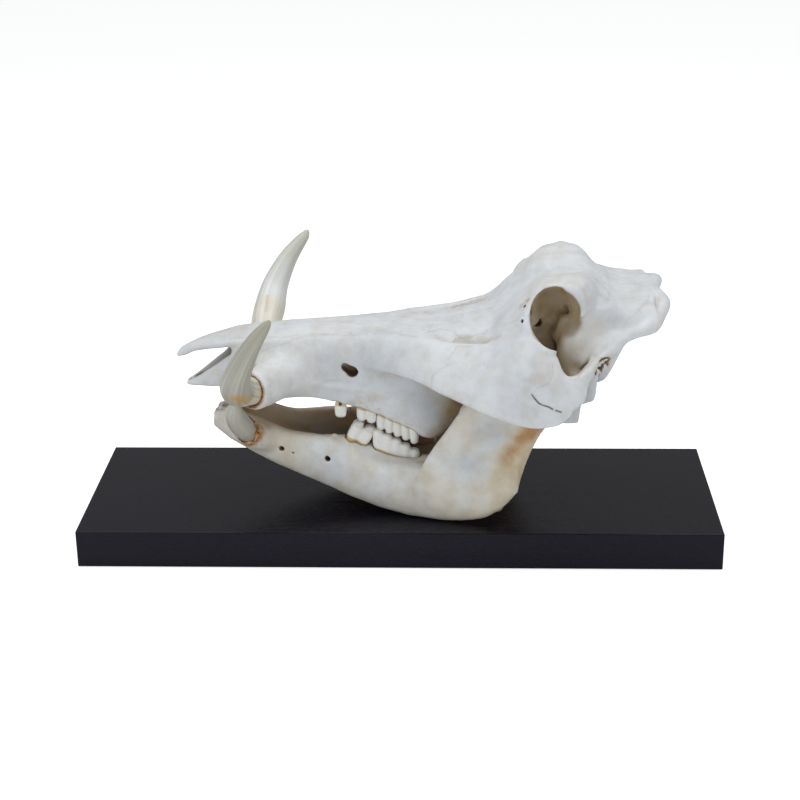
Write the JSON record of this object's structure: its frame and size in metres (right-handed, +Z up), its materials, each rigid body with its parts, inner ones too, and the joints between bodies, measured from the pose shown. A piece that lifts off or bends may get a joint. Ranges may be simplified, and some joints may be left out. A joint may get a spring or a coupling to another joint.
{
  "type": "warthog skull on a display board",
  "caption": "Bleached skull of an adult warthog boar with lower jaw, curved tusks and worn cheek teeth, resting on a flat black display board.",
  "frame": {"origin": "centre of the display board's underside", "axes": "+Z up, +X from the nose towards the back of the head along the board's length, +Y towards the animal's right"},
  "size_m": [0.6, 0.2969, 0.2682],
  "materials": {
    "black_wood": "satin",
    "white_bone": "matte",
    "cream_bone": "matte",
    "ivory": "satin",
    "enamel": "satin"
  },
  "bodies": {
    "root": {"display_board": "black_wood", "cranium": "white_bone", "mandible": "cream_bone", "upper_tusk_left": "ivory", "lower_tusk_left": "ivory", "upper_premolar_left": "enamel", "upper_middle_molar_left": "enamel", "upper_rear_molar_left": "enamel", "lower_middle_molar_left": "enamel", "lower_rear_molar_left": "enamel", "upper_tusk_right": "ivory", "lower_tusk_right": "ivory", "upper_premolar_right": "enamel", "upper_middle_molar_right": "enamel", "upper_rear_molar_right": "enamel", "lower_middle_molar_right": "enamel", "lower_rear_molar_right": "enamel"}
  },
  "joints": []
}
